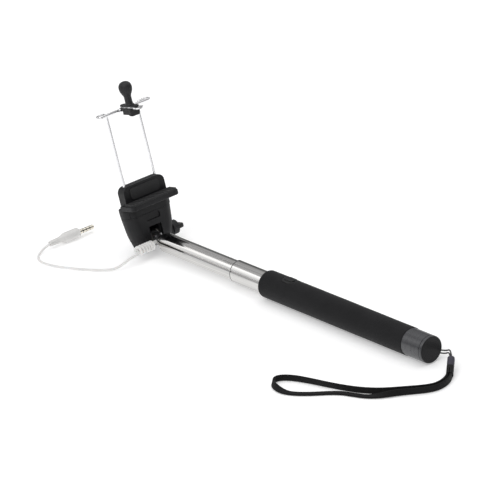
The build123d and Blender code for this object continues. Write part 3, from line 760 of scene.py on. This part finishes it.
def makeGrip():
    grip = {"front": 132.4, "rear": 283.2, "radius": 10.0, "bore": 8.34, "sides": 200, "pitch": 0.9,
            "edge": 1.35, "inset": 0.035, "wave": 0.0175}
    edge = grip["edge"]
    profile = [(grip["bore"], grip["front"] + 0.9), (grip["bore"] + 0.4, grip["front"] + 0.25)]
    for k in range(9):
        angle = math.radians(90 * k / 8)
        profile.append((grip["radius"] - edge + edge * math.sin(angle),
                        grip["front"] + edge - edge * math.cos(angle)))
    start, stop = grip["front"] + edge, grip["rear"] - 0.5
    count = round((stop - start) / grip["pitch"])
    profile += [(grip["radius"], start + (stop - start) * k / count) for k in range(1, count + 1)]
    profile += [(grip["radius"] - 0.06, grip["rear"] - 0.22), (grip["radius"] - 0.25, grip["rear"] - 0.02),
                (grip["bore"], grip["rear"] - 0.02), (grip["bore"], grip["front"] + 0.9)]

    def swell(angle, along, radius):
        if radius < grip["radius"] - 1.3:
            return 0.0
        # slight waviness of the foam, never proud of its full size
        wave = math.sin(along * 0.19 + 2 * math.sin(angle)) + math.sin(along * 0.071 + angle * 2)
        return -grip["inset"] - grip["wave"] * wave

    def toFrame(u, v, along):
        return place(along, u, v)

    piece = turnedPiece("grip_sleeve", profile, grip["sides"], foamMaterial(), toFrame, swell)
    # the oval opening for the button
    button = {"x": 157.5, "length": 12.9, "width": 7.9, "low": 7.0, "high": 13.0, "steps": 24}
    ring = []
    half = (button["length"] - button["width"]) / 2
    for side in (1, -1):
        for k in range(button["steps"] + 1):
            angle = math.radians(-90 + 180 * k / button["steps"]) + (0 if side == 1 else math.pi)
            ring.append((button["x"] + side * half + button["width"] / 2 * math.cos(angle),
                         button["width"] / 2 * math.sin(angle)))
    count = len(ring)
    points = [place(x, y, z) for z in (button["low"], button["high"]) for x, y in ring]
    faces = [(k, (k + 1) % count, count + (k + 1) % count, count + k) for k in range(count)]
    faces += [tuple(range(count - 1, -1, -1)), tuple(range(count, 2 * count))]
    cutter = newPiece("gripCutter", points, faces, piece.data.materials[0], False)
    cutOut(piece, cutter)
    piece.data.polygons.foreach_set("use_smooth", [True] * len(piece.data.polygons))
    crisp = piece.modifiers.new("edges", "WEIGHTED_NORMAL")
    crisp.keep_sharp = True
    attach(piece, "handle")
    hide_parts("foam_grip")


def makeCoil():
    # the coiled lead inside the tubes
    coil = {"from": 23.6, "to": 284.0, "anchor": 284.2, "radius": 1.9, "wire": 1.4, "turns": 118,
            "points": 10, "keep": 0.65}
    points = []
    total = coil["turns"] * coil["points"]
    for k in range(total + 1):
        angle = 2 * math.pi * k / coil["points"]
        points.append(place(coil["from"] + (coil["to"] - coil["from"]) * k / total,
                            coil["radius"] * math.cos(angle), coil["radius"] * math.sin(angle)))
    piece = coiledWire("inner_coil", points, Vector((1, 0, 0)), coil["wire"] * mm / 2, 6,
                       mouldedMaterial("coil insulation", (0.02, 0.02, 0.02), (0.04, 0.04, 0.04)))
    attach(piece, "handle")
    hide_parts("signal_coil")
    tuple(place(coil["anchor"], 0, 0))
    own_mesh(piece)


def makeSpring(node, side):
    # a clamp spring
    spring = {"x": 2.4, "y": 14.0, "low": 10.9, "high": 40.1, "radius": 1.95, "wireRadius": 0.3,
              "turns": 11, "points": 20, "top": 40.4, "keep": 0.258}
    points = []
    total = spring["turns"] * spring["points"]
    for k in range(total + 1):
        angle = math.tau * k / spring["points"]
        points.append(headPlace(spring["x"] + spring["radius"] * math.cos(angle),
                                side * spring["y"] + spring["radius"] * math.sin(angle),
                                spring["low"] + (spring["high"] - spring["low"]) * k / total))
    upward = (headPlace(0, 0, 1) - headPlace(0, 0, 0)).normalized()
    piece = coiledWire(f"{node}_coil", points, upward, spring["wireRadius"] * mm, 8, materials["spring"])
    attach(piece, "head")
    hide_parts(node)
    tuple(headPlace(spring["x"], side * spring["y"], spring["top"]))
    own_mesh(piece)


makeGrip()
makeCoil()
print("grip and inner coil are made")


# ---- clamp knob with a diamond grip

def makePullKnob():
    knob = {"base": 100.85, "x": 14.0, "sides": 168, "ridges": 12, "twist": 0.231, "depth": 0.36,
            "gripFrom": 5.9, "gripTo": 14.7}
    base = knob["base"]
    outline = smoothLine([(3.3, base), (3.36, base + 0.25), (2.95, base + 0.7), (2.75, base + 1.4),
                          (2.7, base + 3.4), (2.72, base + 5.9), (3.05, base + 7.2), (3.9, base + 8.8),
                          (4.6, base + 10.6), (4.9, base + 12.5), (4.72, base + 14.3),
                          (4.05, base + 15.7), (2.9, base + 16.8), (1.5, base + 17.35),
                          (0.02, base + 17.5)], 9)

    def swell(angle, along, radius):
        z = along - base
        fade = max(0.0, min(1.0, z - knob["gripFrom"])) * max(0.0, min(1.0, knob["gripTo"] - z))
        if fade == 0:
            return 0.0
        turn = knob["twist"] * z
        one, two = [abs(math.sin((angle + way * turn) * knob["ridges"] / 2)) for way in (1, -1)]
        groove = (1 - min(one, two)) ** 5
        return -knob["depth"] * groove * fade

    def toFrame(u, v, along):
        return headPlace(knob["x"] + u, v, along)

    profile = [(0.0001, base), *outline]
    piece = turnedPiece("pull_knob_grip", profile, knob["sides"], materials["knob"], toFrame, swell)
    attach(piece, "clamp_bail")
    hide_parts("pull_knob")


materials = {
    "tube": drawnChromeMaterial("drawn chrome"),
    "outer": drawnChromeMaterial("drawn chrome with lip", place(99.9, 0, 0).x),
    "chrome": brightChromeMaterial(),
    "shell": mouldedMaterial("black shell moulding", (0.004, 0.004, 0.0048), (0.0105, 0.0105, 0.0125),
                              specular=0.36),
    "knob": mouldedMaterial("black knob moulding", (0.006, 0.006, 0.007), (0.022, 0.022, 0.025), 0.5, 0.05,
                            (0.4, 0.62)),
    "button": mouldedMaterial("black button moulding", (0.006, 0.006, 0.0065), (0.013, 0.013, 0.014),
                              0.3, 0.02, (0.28, 0.42), 0.38),
    "cap": capMaterial(),
    "rubber": rubberMaterial(),
    "plug": mouldedMaterial("white plug moulding", (0.74, 0.73, 0.71), (0.84, 0.835, 0.82), 0.5, 0.015,
                            (0.24, 0.36), 0.5),
    "steel": steelMaterial("zinc plated steel", (0.55, 0.55, 0.56), 0.32),
    "blackened": mouldedMaterial("blackened nut", (0.008, 0.008, 0.009), (0.02, 0.02, 0.021),
                                 rough=(0.5, 0.65), specular=0.3),
    "spring": steelMaterial("spring wire", (0.5, 0.5, 0.51), 0.25),
    "cast": steelMaterial("satin cast fitting", (0.42, 0.42, 0.43), 0.38),
    "pin": pinMaterial(),
    "nylon": mouldedMaterial("natural nylon", (0.55, 0.54, 0.5), (0.68, 0.67, 0.63), 0.5, 0.02),
    "board": mouldedMaterial("switch board", (0.02, 0.08, 0.03), (0.03, 0.11, 0.045), 0.4, 0.02),
    "inner": mouldedMaterial("grey inner plug", (0.08, 0.08, 0.085), (0.13, 0.13, 0.135)),
    "wire": mouldedMaterial("inner wire", (0.02, 0.02, 0.02), (0.045, 0.045, 0.045)),
    "sleeve": sleeveMaterial(),
}
makePullKnob()
makeSpring("spring_left", -1)
makeSpring("spring_right", 1)
print("knob and springs are made")

nodeLooks = {
    "outer": ["outer_tube"],
    "tube": ["tube_2", "tube_3", "tube_4", "tube_5", "tube_6"],
    "chrome": ["wire_bail", "top_plate"],
    "shell": ["front_shell", "rear_shell"],
    "knob": ["thumb_knob", "knob_flange"],
    "button": ["button_frame", "shutter_button"],
    "cap": ["end_cap"],
    "rubber": ["jaw_pad", "back_pad", "hook_pad"],
    "plug": ["plug_body", "lead_grommet"],
    "blackened": ["hinge_nut", "hinge_bolt"],
    "steel": ["shell_screws", "knob_stud"],
    "cast": ["tongue"],
    "pin": ["jack_pin"],
    "nylon": ["friction_washers", "rod_feet", "slip_2", "slip_3", "slip_4", "slip_5", "slip_6"],
    "board": ["button_switch"],
    "inner": ["rear_plug"],
    "wire": ["button_wire"],
    "sleeve": ["strap_sleeve"],
}
for look, names in nodeLooks.items():
    for name in names:
        node = nodes[name]
        node.data.materials.clear()
        node.data.materials.append(materials[look])
print("materials are on")
